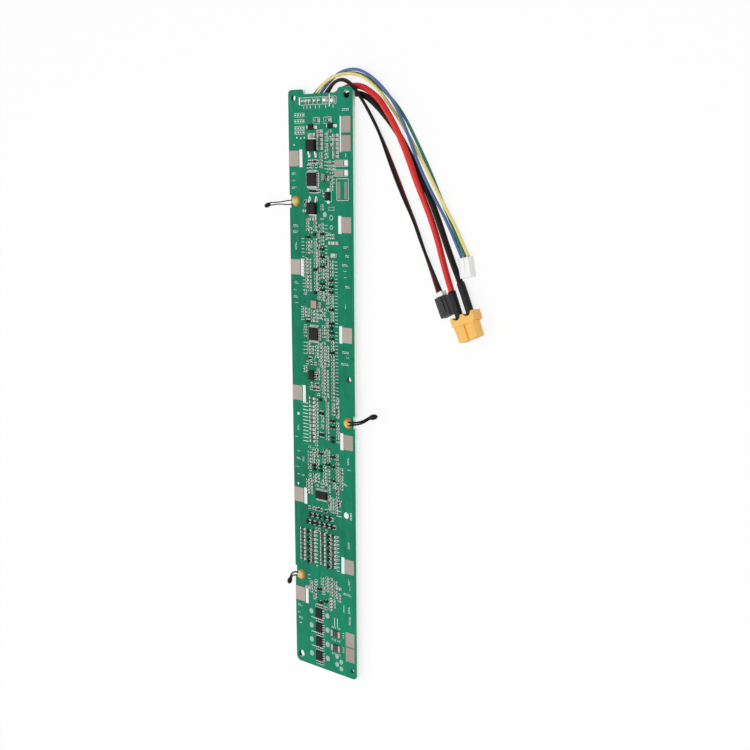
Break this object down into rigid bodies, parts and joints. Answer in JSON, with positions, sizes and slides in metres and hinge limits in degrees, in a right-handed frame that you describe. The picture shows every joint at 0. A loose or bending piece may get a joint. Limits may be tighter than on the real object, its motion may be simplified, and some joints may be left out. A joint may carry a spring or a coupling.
{
  "type": "battery management board",
  "caption": "Long narrow battery management board with cell tap pads down both edges, surface-mounted control parts, temperature sensors on short leads and a wire harness to three plugs.",
  "frame": {"origin": "centre of the board's flat back face, the face that lies against the battery cells", "axes": "+X across the board, +Y along the board to the end where the wires leave, +Z out of the component side"},
  "size_m": [0.1404, 0.3088, 0.0071],
  "materials": {
    "board": "satin green solder mask over glass-fibre laminate, faint weave and trace relief",
    "tin": "dull tinned copper, slightly uneven",
    "solder": "bright reflowed solder, softly rounded",
    "wire_red": "soft insulation, satin",
    "wire_black": "soft insulation, satin",
    "wire_yellow": "soft insulation, satin",
    "wire_green": "soft insulation, satin",
    "wire_blue": "soft insulation, satin",
    "sleeve": "heat-shrunk sleeve, semi-matte",
    "amber_plastic": "slightly translucent moulded nylon",
    "black_plastic": "moulded plastic, fine texture",
    "white_plastic": "moulded nylon, slightly warm white",
    "brass": "gold-flashed brass",
    "moulding": "dark epoxy moulding, fine matte",
    "leads": "tin-plated leads",
    "sensor": "epoxy-dipped bead on tinned leads",
    "glue": "amber hot glue, slightly clouded, rounded",
    "ceramic": "fired ceramic between tinned ends, semi-matte",
    "resistor": "glazed dark top between tinned ends",
    "crystal_can": "plated metal can, satin"
  },
  "bodies": {
    "root": {"circuit_board": "board", "contact_pads": "tin", "wire_solder_joints": "solder", "power_wire_red": "wire_red", "power_wire_black": "wire_black", "charge_wire_red": "wire_red", "charge_wire_black": "wire_black", "data_wire_yellow": "wire_yellow", "data_wire_green": "wire_green", "data_wire_blue": "wire_blue", "power_sleeve_red": "sleeve", "power_sleeve_black": "sleeve", "power_plug_housing": "amber_plastic", "power_plug_contacts": "brass", "charge_plug_housing": "black_plastic", "charge_plug_insert": "white_plastic", "charge_plug_contacts": "brass", "data_plug_housing": "white_plastic", "data_plug_contacts": "brass", "temperature_sensor_upper": "sensor", "temperature_sensor_middle": "sensor", "temperature_sensor_lower": "sensor", "glue_dots": "glue", "cell_monitor_body": "moulding", "cell_monitor_leads": "leads", "microcontroller_body": "moulding", "microcontroller_leads": "leads", "interface_chip_body": "moulding", "interface_chip_leads": "leads", "balance_control_chip_body": "moulding", "balance_control_chip_leads": "leads", "logic_chip_bodies": "moulding", "logic_chip_leads": "leads", "regulator_bodies": "moulding", "regulator_leads": "leads", "power_transistor_bodies": "moulding", "power_transistor_leads": "leads", "current_sense_resistors": "resistor", "current_sense_terminals": "leads", "diode_bodies": "moulding", "diode_terminals": "leads", "crystal": "crystal_can", "ceramic_capacitor": "ceramic", "fuse_block": "resistor", "chip_resistors": "resistor", "chip_capacitors": "ceramic", "large_capacitors": "ceramic", "balance_resistors": "resistor", "small_transistors": "moulding", "small_transistor_legs": "leads", "small_diodes": "moulding"}
  },
  "joints": []
}
